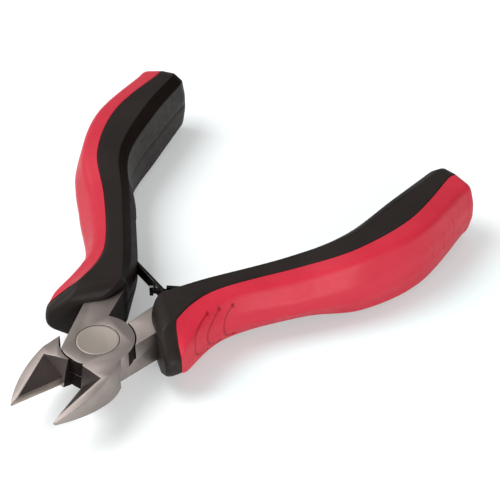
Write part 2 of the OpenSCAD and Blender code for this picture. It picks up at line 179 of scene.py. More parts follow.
class Wiring:
    """Adds and joins the nodes of one tree."""

    def __init__(self, tree: bpy.types.NodeTree) -> None:
        """Take a tree over and empty it."""
        self.tree = tree
        tree.nodes.clear()

    def add(self, kind: str, **values: Any) -> bpy.types.Node:
        """Add a node.

        Args:
            kind: Blender's type name of the node.
            **values: Values of inputs, by their names with underscores for spaces.

        Returns:
            The new node.
        """
        node = self.tree.nodes.new(kind)
        self.fill(node, values)
        return node

    @staticmethod
    def fill(node: bpy.types.Node, values: dict[str, Any]) -> None:
        """Set a node's inputs, by their names with underscores for spaces."""
        for name, value in values.items():
            node.inputs[name.replace("_", " ")].default_value = value

    def link(self, source: Socket, target: Socket) -> None:
        """Join an output to an input."""
        self.tree.links.new(source, target)

    def math(self, operation: str, first: Socket, second: Socket | float) -> Socket:
        """Work out one value from two."""
        node = self.add("ShaderNodeMath")
        node.operation = operation
        self.link(first, node.inputs[0])
        if isinstance(second, float):
            node.inputs[1].default_value = second
        else:
            self.link(second, node.inputs[1])
        return node.outputs["Value"]

    def fade(self, places: Socket, way: Sequence[float], **ends: float) -> Socket:
        """Fade smoothly along a way.

        Args:
            places: Places or directions.
            way: The way that they are measured along.
            **ends: Ends of the range, named as on the Map Range node.

        Returns:
            The faded value.
        """
        reach = self.add("ShaderNodeVectorMath")
        reach.operation = "DOT_PRODUCT"
        reach.inputs[1].default_value = way
        self.link(places, reach.inputs[0])
        fade = self.add("ShaderNodeMapRange", **ends)
        fade.interpolation_type = "SMOOTHSTEP"
        self.link(reach.outputs["Value"], fade.inputs["Value"])
        return fade.outputs["Result"]


class NodeBench(Wiring):
    """Wires the nodes of one material round a Principled shader."""

    def __init__(self, name: str) -> None:
        """Start an empty material with this name."""
        self.material = bpy.data.materials.new(name)
        self.material.use_nodes = True
        super().__init__(self.material.node_tree)
        self.shader = self.add("ShaderNodeBsdfPrincipled")
        self.output = self.add("ShaderNodeOutputMaterial")
        self.link(self.shader.outputs["BSDF"], self.output.inputs["Surface"])
        self.coordinates = self.add("ShaderNodeTexCoord").outputs["Object"]

    def set(self, **values: Any) -> None:
        """Set plain values on the shader's own sockets."""
        self.fill(self.shader, values)

    def drive(self, name: str, source: Socket) -> None:
        """Join an output to one of the shader's own sockets."""
        self.link(source, self.shader.inputs[name])

    def noise(self, grain: float, detail: float = 3.0,
              stretch: Sequence[float] = (1, 1, 1), turn: float = 0.0) -> Socket:
        """Make a noise pattern on the object's own coordinates.

        Args:
            grain: Size of the pattern in millimetres.
            detail: Octaves of the pattern.
            stretch: How many times longer the grain is along each axis.
            turn: Turn of the pattern about Z in degrees.

        Returns:
            The socket with values about 0.5.
        """
        place = self.add("ShaderNodeMapping", Rotation=(0, 0, math.radians(turn)),
                         Scale=[1 / (grain * MM * s) for s in stretch])
        self.link(self.coordinates, place.inputs["Vector"])
        pattern = self.add(
            "ShaderNodeTexNoise", Scale=1.0, Detail=detail, Roughness=NOISE_ROUGHNESS)
        self.link(place.outputs["Vector"], pattern.inputs["Vector"])
        return pattern.outputs["Fac"]

    def spread(self, source: Socket, low: float, high: float) -> Socket:
        """Map the middle range of a noise to values from low to high."""
        start, end = NOISE_RANGE
        scale = self.add(
            "ShaderNodeMapRange", From_Min=start, From_Max=end, To_Min=low, To_Max=high)
        self.link(source, scale.inputs["Value"])
        return scale.outputs["Result"]

    def tint(self, source: Socket, low: Colour, high: Colour) -> Socket:
        """Map the middle range of a noise to a blend of two colours."""
        ramp = self.add("ShaderNodeValToRGB")
        for stop, place, colour in zip(ramp.color_ramp.elements, NOISE_RANGE, (low, high)):
            stop.position = place
            stop.color = colour
        self.link(source, ramp.inputs["Fac"])
        return ramp.outputs["Color"]

    def shaded(self, source: Socket, layer: str, low: Colour) -> Socket:
        """Blend a colour to another where a layer of the mesh says so.

        Args:
            source: The colour where the layer is 0.
            layer: Name of the mesh's layer.
            low: The colour where the layer is 1.

        Returns:
            The blended colour.
        """
        reader = self.add("ShaderNodeAttribute")
        reader.attribute_name = layer
        blend = self.add("ShaderNodeMixRGB", Color2=low)
        self.link(reader.outputs["Fac"], blend.inputs["Fac"])
        self.link(source, blend.inputs["Color1"])
        return blend.outputs["Color"]

    def bump(self, source: Socket, depth: float, strength: float = 1.0,
             under: Socket | None = None) -> Socket:
        """Roughen the surface by a pattern.

        Args:
            source: Heights from 0 to 1.
            depth: Height of the pattern in millimetres.
            strength: Share of the effect.
            under: Normal of a coarser bump below this one.

        Returns:
            The bumped normal.
        """
        node = self.add("ShaderNodeBump", Strength=strength, Distance=depth * MM)
        self.link(source, node.inputs["Height"])
        if under is not None:
            self.link(under, node.inputs["Normal"])
        return node.outputs["Normal"]


@dataclass(frozen=True)
class SteelFinish:
    """Satin steel: a fine blasted or ground surface with faint clouds."""

    name: str
    dark: str
    light: str
    roughness: tuple[float, float] = (0.36, 0.48)
    cloud: float = 4.5
    streak: float = 0.12
    grain: float = 0.16
    grain_depth: float = 0.006
    lines: Triple = (1, 1, 1)
    lines_turn: float = 0.0
    lines_depth: float = 0.0

    def material(self) -> bpy.types.Material:
        """Build the material."""
        bench = NodeBench(self.name)
        bench.set(Metallic=1.0)
        clouds = bench.noise(self.cloud, detail=4)
        colour = bench.tint(clouds, linear(self.dark), linear(self.light))
        bench.drive("Base Color", colour)
        streaks = bench.noise(self.streak, stretch=self.lines, turn=self.lines_turn)
        bench.drive("Roughness", bench.spread(streaks, *self.roughness))
        normal = bench.bump(bench.noise(self.grain, detail=2), self.grain_depth)
        if self.lines_depth > 0:
            normal = bench.bump(streaks, self.lines_depth, under=normal)
        bench.drive("Normal", normal)
        return bench.material


@dataclass(frozen=True)
class MatteFinish:
    """Matte skin of a moulded grip, or the near-black painted shade on the levers' walls: finely
    eroded, with faint clouds.
    """

    name: str
    dark: str
    light: str
    roughness: tuple[float, float] = (0.5, 0.62)
    specular: float = 0.4
    cloud: float = 9.0
    sheen: float = 1.4
    wave: float = 2.6
    wave_depth: float = 0.012
    grain: float = 0.22
    grain_depth: float = 0.012
    # Colour blended in where the grooves are deep: painted shade in the moulded marks.
    groove: str | None = None

    def material(self) -> bpy.types.Material:
        """Build the material."""
        bench = NodeBench(self.name)
        bench.set(Metallic=0.0, Specular_IOR_Level=self.specular)
        clouds = bench.noise(self.cloud)
        colour = bench.tint(clouds, linear(self.dark), linear(self.light))
        # Darken towards the groove colour in the pressed marks: painted shade.
        if self.groove is not None:
            colour = bench.shaded(colour, GROOVE_SHADE_LAYER, linear(self.groove))
        bench.drive("Base Color", colour)
        bench.drive("Roughness", bench.spread(bench.noise(self.sheen), *self.roughness))
        wave = bench.bump(bench.noise(self.wave, detail=2), self.wave_depth)
        normal = bench.bump(bench.noise(self.grain, detail=2), self.grain_depth, under=wave)
        bench.drive("Normal", normal)
        return bench.material


@dataclass
class Finishes:
    """All finishes of the cutters, each built once."""

    lever: SteelFinish = SteelFinish("lever_satin", "958b86", "a19792", roughness=(0.46, 0.58))
    # Lighter steel of worn lever edges; the same finish paints the glint at the springs' hook.
    edge: SteelFinish = SteelFinish("lever_edge_and_hook_glint", "a29892", "aea49e", roughness=(0.4, 0.5))
    pocket: SteelFinish = SteelFinish(
        "pocket_ground", "5b5250", "675d5b", roughness=(0.42, 0.52),
        lines=(1, 12, 1), lines_depth=0.008)
    land: SteelFinish = SteelFinish(
        "cutting_land", "938a85", "a0978f", roughness=(0.32, 0.42),
        lines=(1, 10, 1), lines_depth=0.004)
    # Near-black matte on the levers' walls in the gaps between parts: painted shade.
    wall: MatteFinish = MatteFinish(
        "lever_wall_painted_shade", "1f1817", "28211f", roughness=(0.55, 0.66), specular=0.03, grain_depth=0.006)
    # Darker steel on the rivet's rim and flanks: painted shade in the crease round the rivet.
    rim: SteelFinish = SteelFinish("rivet_rim_painted_shade", "6b6156", "776c60", roughness=(0.45, 0.58))
    rivet: SteelFinish = SteelFinish("rivet_satin", "b3a9a0", "beb4ab", roughness=(0.42, 0.52))
    spring: SteelFinish = SteelFinish(
        "spring_black_oxide", "131212", "1d1b1a", roughness=(0.34, 0.46), lines=(14, 14, 1),
        lines_depth=0.004)
    spring_edge: SteelFinish = SteelFinish(
        "spring_worn_edge", "3a3735", "585451", roughness=(0.25, 0.4))
    sleeve: MatteFinish = MatteFinish(
        "sleeve_black_rubber", "1e1816", "241e1b", roughness=(0.44, 0.56), specular=0.15)
    # Darker, duller copy of the sleeve's finish on its inner chamfer band and the front of its
    # inner side: painted shade.
    band: MatteFinish = MatteFinish(
        "sleeve_band_painted_shade", "140f0d", "19130f", roughness=(0.44, 0.54), specular=0.03,
        grain_depth=0.003)
    # The groove colour is painted shade in the moulded marks.
    panel: MatteFinish = MatteFinish(
        "panel_red_skin", "bc2035", "c2283b", roughness=(0.44, 0.54), specular=0.3,
        grain_depth=0.008, groove="860012")
    made: dict[str, bpy.types.Material] = field(default_factory=dict)

    def of(self, key: str) -> bpy.types.Material:
        """Give a finish's material, made at its first use."""
        if key not in self.made:
            self.made[key] = getattr(self, key).material()
        return self.made[key]


def placed(name: str, data: bpy.types.ID) -> Piece:
    """Put a new object with its data into the scene."""
    obj = bpy.data.objects.new(name, data)
    bpy.context.scene.collection.objects.link(obj)
    return obj


@contextmanager
def editing(mesh: bpy.types.Mesh) -> Iterator[bmesh.types.BMesh]:
    """Open a mesh for edits and write them back."""
    work = bmesh.new()
    work.from_mesh(mesh)
    yield work
    work.to_mesh(mesh)
    work.free()


def lathe(profile: Sequence[tuple[float, float]], steps: int) -> Array:
    """Give the rings of a turned solid about Z from its outline of radius and height.

    Args:
        profile: Places from the lower to the upper middle, with radii over 0.
        steps: Number of places round the axis.

    Returns:
        Points as rings by places by x, y, z.
    """
    angles = np.linspace(0, 2 * math.pi, steps, endpoint=False)
    return np.array([
        [[r * math.cos(t), r * math.sin(t), z] for t in angles] for r, z in profile])


def loft(name: str, rings: Array, half: Half | None, sharp: float = MOULDED_SHARP) -> Piece:
    """Make a closed piece over rings, with a flat cap at both ends.

    Args:
        name: Name of the piece.
        rings: Points in millimetres as rings by places by x, y, z.
        half: The half that the points are opened with, or None to keep them as drawn.
        sharp: Angle in degrees over which an edge stays sharp.

    Returns:
        The new piece, with its faces turned outwards.
    """
    rows, across = rings.shape[:2]
    index = np.arange(rows * across).reshape(rows, across)
    beside = np.roll(index, -1, axis=1)
    sides = np.stack([index[:-1], beside[:-1], beside[1:], index[1:]], axis=-1)
    faces = sides.reshape(-1, 4).tolist() + [index[0][::-1].tolist(), index[-1].tolist()]
    points = rings.reshape(-1, 3)
    if half is not None:
        points = half.opened(points)
    mesh = bpy.data.meshes.new(name)
    mesh.from_pydata((points * MM).tolist(), [], faces)
    obj = placed(name, mesh)
    with editing(mesh) as work:
        bmesh.ops.recalc_face_normals(work, faces=work.faces[:])
    smooth(obj, sharp)
    return obj


def smooth(obj: Piece, sharp: float) -> None:
    """Shade smooth, with edges over the angle sharp kept crisp."""
    obj.data.shade_smooth()
    obj.data.set_sharp_from_angle(angle=math.radians(sharp))


def settle(obj: Piece) -> None:
    """Replace an object's mesh by what its modifiers make of it."""
    graph = bpy.context.evaluated_depsgraph_get()
    graph.update()
    mesh = bpy.data.meshes.new_from_object(obj.evaluated_get(graph), depsgraph=graph)
    old = obj.data
    obj.modifiers.clear()
    obj.data = mesh
    mesh.name = obj.name
    bpy.data.meshes.remove(old)


def carve(obj: Piece, cutters: Sequence[Piece]) -> None:
    """Take solids out of a piece and delete them.

    Args:
        obj: The piece.
        cutters: Closed solids to take away.
    """
    for cutter in cutters:
        cut = obj.modifiers.new(cutter.name, "BOOLEAN")
        cut.operation = "DIFFERENCE"
        cut.solver = "EXACT"
        cut.object = cutter
    settle(obj)
    for cutter in cutters:
        bpy.data.objects.remove(cutter)


def cad_copy(node: str, name: str, edge: float, edge_slot: int, angle: float) -> Piece:
    """Copy a CAD node into a piece with small rounded edges.

    Args:
        node: Name of the CAD node.
        name: Name of the new piece.
        edge: Width of the rounding in millimetres.
        edge_slot: Material slot of the roundings.
        angle: Angle in degrees over which an edge is rounded.

    Returns:
        The new piece.
    """
    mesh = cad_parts[node].data.copy()
    mesh.name = name
    obj = placed(name, mesh)
    with editing(mesh) as work:
        bmesh.ops.remove_doubles(work, verts=work.verts[:], dist=WELD * MM)
        bmesh.ops.dissolve_limit(
            work, angle_limit=math.radians(FLAT_ANGLE), verts=work.verts[:], edges=work.edges[:])
        bmesh.ops.recalc_face_normals(work, faces=work.faces[:])
        for face in work.faces:
            face.material_index = 0
    mesh.materials.clear()
    rounding = obj.modifiers.new("edges", "BEVEL")
    rounding.width = edge * MM
    rounding.segments = EDGE_SEGMENTS
    rounding.limit_method = "ANGLE"
    rounding.angle_limit = math.radians(angle)
    rounding.use_clamp_overlap = True
    rounding.harden_normals = False
    rounding.material = edge_slot
    return obj


@dataclass
class GripShape:
    """Sizes and curves of one grip, drawn for the left handle in the closed pose."""

    grip_height: float = 16.2
    grip_front: float = 17.2
    guard_front: float = 8.6
    grip_tail: float = 87.9
    front_inner: float = 0.4
    guard_outer: float = 15.0
    waist_inner: float = 1.9
    waist_outer: float = 13.1
    belly_inner: float = 15.3
    belly_outer: float = 28.9
    tail_inner: float = 14.0
    tail_outer: float = 25.9
    inner_chamfer: float = 3.0
    inner_bulge: float = 1.2
    inner_chamfer_height: float = 1.7
    outer_chamfer: float = 6.0
    outer_bulge: float = 3.0
    outer_chamfer_height: float = 4.2
    edge_round: float = 1.4
    top_round: float = 0.9
    band_round: float = 0.35
    front_round: float = 2.6
    front_bulge: float = 1.7
    front_bulge_end: float = 0.3
    front_dome: float = 3.8
    tail_dome: float = 2.6
    seam_gap: float = 0.05
    seam_lip: float = 0.12
    lip_share: float = 0.9
    collar_seam: float = 0.3
    tang_wall: float = 1.3
    tang_width: float = 4.4
    tang_thick: float = 5.4
    tang_last: float = 3.7
    window_height: float = 3.6
    flash_depth: float = 0.1
    flash_half: float = 0.16
    crown_ease: float = 0.35
    inner_x_shares: tuple[float, ...] = (0, 0.13, 0.4, 0.58, 0.8, 1)
    outer_x_shares: tuple[float, ...] = (0, 0.2, 0.4, 0.56, 0.763, 1)
    inner_rise_shares: tuple[float, ...] = (0.566, 1)
    outer_rise_shares: tuple[float, ...] = (0.484, 0.858)
    height_shares: tuple[float, ...] = (0.82, 0.81, 0.75, 0.95, 1.02, 0.93)
    inner_chamfer_shares: tuple[float, ...] = (0.34, 0.92, 0.95, 0.8, 1, 0.9)
    inner_bulge_shares: tuple[float, ...] = (0.24, 0.93, 0.97, 0.3, 0.25, 0.5)
    outer_chamfer_shares: tuple[float, ...] = (1.1, 0.9, 1, 0.91, 0.94, 1.02)
    outer_height_shares: tuple[float, ...] = (0.85, 0.3, 0.12, 0.16, 0.2, 0.27)
    outer_bulge_shares: tuple[float, ...] = (0, 0.5, 0.95, 0.6, 0.38, 0.4)
    side_flat_share: float = 0.25
    ease_share: float = 0.45
    tail_flat_share: float = 0.85
    tail_middle_share: float = 0.5
    front_flat_share: float = 0.64
    front_middle_share: float = 0.7
    parting_share: float = 0.95
    parting_sweep: float = 0.21
    parting_dip: float = 0.1
    parting_dip_start: float = 0.3
    parting_dip_end: float = 2.0
    collar_station: float = 0.006
    tail_station: float = 5.0
    corner_steps: int = 7
    dome_steps: int = 12

    def __post_init__(self) -> None:
        """Work out the knots of the two long curves."""
        body_end = self.grip_tail - self.tail_dome
        self.outer_length = body_end - self.guard_front
        inner_length = body_end - self.grip_front
        inner_y = [self.front_inner, self.waist_inner]
        inner_y += [mix(self.waist_inner, self.belly_inner, s) for s in self.inner_rise_shares]
        inner_y += [self.belly_inner, self.tail_inner]
        outer_y = [self.guard_outer, self.waist_outer]
        outer_y += [mix(self.waist_outer, self.belly_outer, s) for s in self.outer_rise_shares]
        outer_y += [self.belly_outer, self.tail_outer]
        inner_x = self.grip_front + inner_length * np.array(self.inner_x_shares)
        outer_x = self.guard_front + self.outer_length * np.array(self.outer_x_shares)
        self.inner_knots = np.stack([inner_x, inner_y], axis=-1)
        self.outer_knots = np.stack([outer_x, outer_y], axis=-1)
        self.seam_station = (
            self.collar_station + self.collar_seam / self.outer_length * self.tail_station)

    @staticmethod
    def through(knots: Sequence[Any], t: Array) -> Array:
        """Follow a smooth curve through knots, one unit of t from knot to knot.

        Args:
            knots: Values or points that the curve passes.
            t: Places along it.

        Returns:
            The value or point at each place.
        """
        rows = np.asarray(knots, dtype=float)
        last = len(rows) - 1
        i = np.minimum(np.floor(t).astype(int), last - 1)
        f = t - i
        if rows.ndim == 2:
            f = f[:, None]
        a, b, c, d = (rows[np.clip(i + k, 0, last)] for k in (-1, 0, 1, 2))
        square = 2 * a - 5 * b + 4 * c - d
        cube = 3 * b - a - 3 * c + d
        return b + ((c - a) * f + square * f ** 2 + cube * f ** 3) / 2

    def inner_at(self, t: Array) -> Array:
        """Give the inner curve's points at stations."""
        return self.through(self.inner_knots, t)

    def across(self, t: Array) -> tuple[Array, Array]:
        """Give the way from the inner to the outer curve and its length."""
        way = self.through(self.outer_knots, t) - self.inner_at(t)
        return unit(way), np.linalg.norm(way, axis=-1)

    def half_height(self, t: Array) -> Array:
        """Give half of the grip's height at stations, before its crown is cut flat."""
        return self.grip_height / 2 * self.through(self.height_shares, t)

    def outer_sizes(self, t: Array) -> tuple[Array, Array, Array]:
        """Give the outer chamfer's width, the side's bulge and the chamfer's fall at stations."""
        chamfer = self.outer_chamfer * self.through(self.outer_chamfer_shares, t)
        collar = np.clip(1 - t / self.front_bulge_end, 0, 1) ** 2
        bulge = self.outer_bulge * self.through(self.outer_bulge_shares, t)
        fall = self.outer_chamfer_height * self.through(self.outer_height_shares, t)
        return chamfer, bulge + self.front_bulge * collar, fall

    def parting(self, t: Array) -> tuple[Array, Array]:
        """Find the line between sleeve and panel.

        Args:
            t: Stations.

        Returns:
            Its place from the inner curve and its height.
        """
        width = self.across(t)[1]
        chamfer, bulge, fall = self.outer_sizes(t)
        swept = 1 - (1 - np.minimum(1, t / self.parting_sweep)) ** 3
        dip = (t - self.parting_dip_start) / (self.parting_dip_end - self.parting_dip_start)
        swept *= 1 - self.parting_dip * np.sin(math.pi * np.clip(dip, 0, 1)) ** 2
        place = width - chamfer * self.parting_share * swept
        past = place - width + chamfer
        return place, self.half_height(t) - fall * np.minimum(1, past / (chamfer - bulge))

    def eased(self, a: Array, p: Array, b: Array, reach: float) -> Array:
        """Round the corner p between a and b at every station.

        Args:
            a: Places before the corner.
            p: The corner.
            b: Places after it.
            reach: How far from the corner the rounding may begin.

        Returns:
            Rounded places as stations by steps by 2.
        """
        before = self.ease_share * np.linalg.norm(a - p, axis=-1)
        after = self.ease_share * np.linalg.norm(b - p, axis=-1)
        r = np.minimum(reach, np.minimum(before, after))[:, None]
        s, e = (p + unit(a - p) * r)[:, None], (p + unit(b - p) * r)[:, None]
        f = np.linspace(0, 1, self.corner_steps + 1)[None, :, None]
        middle = p[:, None]
        return mix(mix(s, middle, f), mix(middle, e, f), f)

    def corners(self, t: Array) -> dict[str, Array]:
        """Give the corners of the outline across the grip, upper half.

        Args:
            t: Stations.

        Returns:
            Named corners as stations by place from the inner curve and height.
        """
        h = self.half_height(t)
        w = self.across(t)[1]
        inner = self.inner_chamfer * self.through(self.inner_chamfer_shares, t)
        inner_bulge = self.inner_bulge * self.through(self.inner_bulge_shares, t)
        outer, outer_bulge, fall = self.outer_sizes(t)
        none = np.zeros_like(t)
        flat = h * self.side_flat_share
        pairs = {
            "inner_middle": (none, none),
            "inner_face": (none, flat),
            "inner_foot": (inner_bulge, h - self.inner_chamfer_height),
            "inner_top": (inner, h),
            "outer_top": (w - outer, h),
            "outer_foot": (w - outer_bulge, h - fall),
            "outer_face": (w, flat),
            "outer_middle": (w, none),
        }
        return {name: np.stack(pair, axis=-1) for name, pair in pairs.items()}

    def outer_side(self, t: Array) -> Array:
        """Give the rounded outer side from the top of its chamfer to mid height."""
        c = self.corners(t)
        return np.concatenate([
            self.eased(c["outer_top"], c["outer_foot"], c["outer_face"], self.edge_round),
            self.eased(c["outer_foot"], c["outer_face"], c["outer_middle"], self.edge_round),
            c["outer_middle"][:, None],
        ], axis=1)

    def sleeve_chain(self, t: Array, whole: bool) -> Array:
        """Give the sleeve's outline from mid height inside over the top.

        Args:
            t: Stations.
            whole: True in the collar, false where the panel covers the outer side.

        Returns:
            Places as stations by count by 2, with the same count for both kinds.
        """
        c = self.corners(t)
        groove = c["inner_middle"] + np.array([self.flash_depth, 0])
        lip = c["inner_middle"] + np.array([0, self.flash_half])
        parts = [
            groove[:, None], lip[:, None],
            self.eased(lip, c["inner_face"], c["inner_foot"], self.edge_round),
            self.eased(c["inner_face"], c["inner_foot"], c["inner_top"], self.band_round),
            self.eased(c["inner_foot"], c["inner_top"], c["outer_top"], self.band_round),
        ]
        side = self.outer_side(t)
        if whole:
            top = self.eased(c["inner_top"], c["outer_top"], c["outer_foot"], self.top_round)
            return np.concatenate(parts + [top, side], axis=1)
        place, height = self.parting(t)
        edge = np.stack([place, height], axis=-1)
        room = np.linalg.norm(c["outer_top"] - edge, axis=-1)
        turn = np.minimum(self.seam_lip, room * self.lip_share)
        back = edge + unit(c["outer_top"] - edge) * turn[:, None]
        top = self.eased(c["inner_top"], c["outer_top"], back, self.top_round)
        low = edge - np.array([0, self.seam_lip])
        wall = np.linspace(1, 0, side.shape[1] - 1)[None, :, None] * np.array([0, 1])
        down = low[:, None] * np.array([1, 0]) + low[:, None] * wall
        return np.concatenate(parts + [top, back[:, None], down], axis=1)

    def panel_chain(self, t: Array, count: int) -> Array:
        """Give the panel's outline from its seam over the outer side to mid height.

        Args:
            t: Stations.
            count: Evenly spread places on the outer side.

        Returns:
            Places as stations by count by 2.
        """
        place, height = self.parting(t)
        edge = np.stack([place + self.seam_gap, height], axis=-1)
        side = np.concatenate([edge[:, None], self.outer_side(t)], axis=1)
        rows = []
        for places, length in zip(side, run(side)):
            at = np.linspace(min(self.seam_lip, length[-1] / count), length[-1], count)
            rows.append(np.stack([np.interp(at, length, places[:, k]) for k in (0, 1)], axis=-1))
        low = edge - np.array([0, self.seam_lip])
        return np.concatenate([low[:, None], np.array(rows)], axis=1)

    @staticmethod
    def closed(chain: Array) -> Array:
        """Join an upper outline with its mirror image below."""
        lower = chain[:, ::-1] * np.array([1, -1])
        same = np.abs(chain[:, -1, 1]).max() < TINY
        return np.concatenate([chain, lower[:, 1 if same else 0:]], axis=1)

    def set_up(self, ring: Array, t: Array, scale: Array | float = 1.0,
               middle_share: float = 0.5, along: Array | float = 0.0) -> Array:
        """Stand outlines up in space.

        Args:
            ring: Outlines as stations by places by 2.
            t: Their stations.
            scale: Size of each outline about its middle.
            middle_share: Where that middle is across the grip.
            along: How far each outline is moved to +X.

        Returns:
            Points as stations by places by 3.
        """
        scale = np.broadcast_to(scale, t.shape)[:, None]
        along = np.broadcast_to(along, t.shape)[:, None]
        base = self.inner_at(t)
        way, width = self.across(t)
        middle = (width * middle_share)[:, None]
        s = middle + (ring[..., 0] - middle) * scale
        z = ring[..., 1]
        z = np.sign(z) * soft_limit(np.abs(z), self.grip_height / 2, self.crown_ease) * scale
        return np.stack([
            base[:, 0, None] + way[:, 0, None] * s + along,
            base[:, 1, None] + way[:, 1, None] * s,
            MID_Z + z,
        ], axis=-1)

    @staticmethod
    def softened(ring: Array, reach: float) -> Array:
        """Round all corners of one closed outline broadly.

        Args:
            ring: The outline, 1 by places by 2.
            reach: Width of the rounding along the outline.

        Returns:
            The rounded outline, with as many places.
        """
        places = ring[0]
        steps = np.linalg.norm(np.roll(places, -1, axis=0) - places, axis=-1)
        at = np.cumsum(steps) - steps
        apart = np.abs(at[:, None] - at[None])
        apart = np.minimum(apart, steps.sum() - apart)
        weight = np.exp(-(apart / reach) ** 2) * (steps + np.roll(steps, 1))[None]
        return (weight @ places / weight.sum(axis=1, keepdims=True))[None]

    def dome(self, ring: Array, t: float, depth: float, flat_share: float,
             middle_share: float, last: Array | None = None) -> Array:
        """Shrink one outline to a flat share of its size over the depth of a dome.

        Args:
            ring: The outline, 1 by places by 2.
            t: Its station.
            depth: Depth of the dome, below 0 towards the front.
            flat_share: Size of the flat end.
            middle_share: Where the middle is across the grip.
            last: The outline that the dome ends in, or None for the same.

        Returns:
            Rings from the body to the end of the dome.
        """
        angle = np.linspace(0, math.pi / 2, self.dome_steps + 1)[1:]
        share = np.sin(angle)[:, None, None]
        rings = mix(ring, ring if last is None else last, share)
        scale = 1 - (1 - flat_share) * (1 - np.cos(angle))
        along = depth * np.sin(angle)
        return self.set_up(rings, np.full(len(angle), t), scale, middle_share, along)

    def tang_edge(self, t: Array, offset: float) -> Array:
        """Give points of the tang's inner side, moved outwards by an offset."""
        return self.inner_at(t) + self.across(t)[0] * (self.tang_wall + offset)


@dataclass(frozen=True)
class MouldedMark:
    """A crescent pressed into the panel, given by places along and up the outer side."""

    places: tuple[tuple[float, float], ...]
    width: float = 0.22
    depth: float = 0.13
    pit: float = 0.4
    pit_depth: float = 0.2
    line_steps: int = 120

    def fall(self, u: Array, v: Array) -> Array:
        """Give the depth of this mark at places of the side.

        Args:
            u: Millimetres along the outer side.
            v: Millimetres up from mid height, along the outline.

        Returns:
            The depth at each place.
        """
        knots = np.array(self.places)
        line = GripShape.through(knots, np.linspace(0, len(knots) - 1, self.line_steps))
        near = np.full(u.shape, np.inf)
        for x, y in line:
            near = np.minimum(near, np.hypot(u - x, v - y))
        fall = self.depth * np.exp(-(near / self.width) ** 2)
        for x, y in (knots[0], knots[-1]):
            pit = self.pit_depth * np.exp(-(np.hypot(u - x, v - y) / self.pit) ** 2)
            fall = np.maximum(fall, pit)
        return fall


FRONT_MARKS = (
    MouldedMark(((11.0, 5.3), (8.6, 4.8), (6.5, 4.05), (5.4, 2.9), (5.2, 1.2),
                 (5.3, -0.4), (6.1, -1.5), (7.4, -2.2), (9.6, -2.85))),
    MouldedMark(((14.3, 4.7), (11.6, 3.2), (10.0, 2.0), (9.6, 0.7),
                 (9.8, -0.8), (10.7, -2.3), (12.1, -3.2), (13.7, -3.5))),
    MouldedMark(((17.5, 4.1), (15.6, 2.6), (14.6, 1.0), (14.5, -0.8),
                 (14.9, -2.2), (15.6, -3.2), (16.3, -3.7), (17.3, -3.7))),
)
TAIL_MARKS = tuple(
    MouldedMark(places, width=0.3, depth=0.05, pit=0.3, pit_depth=0.0) for places in (
        ((73.2, 4.2), (73.7, 2.4), (73.7, 0.6), (73.1, -1.2)),
        ((69.5, 2.8), (69.9, 1.4), (69.7, 0.0), (69.2, -1.3)),
        ((65.4, 2.0), (65.6, 1.2), (65.3, 0.3), (64.8, -0.5)),
    ))


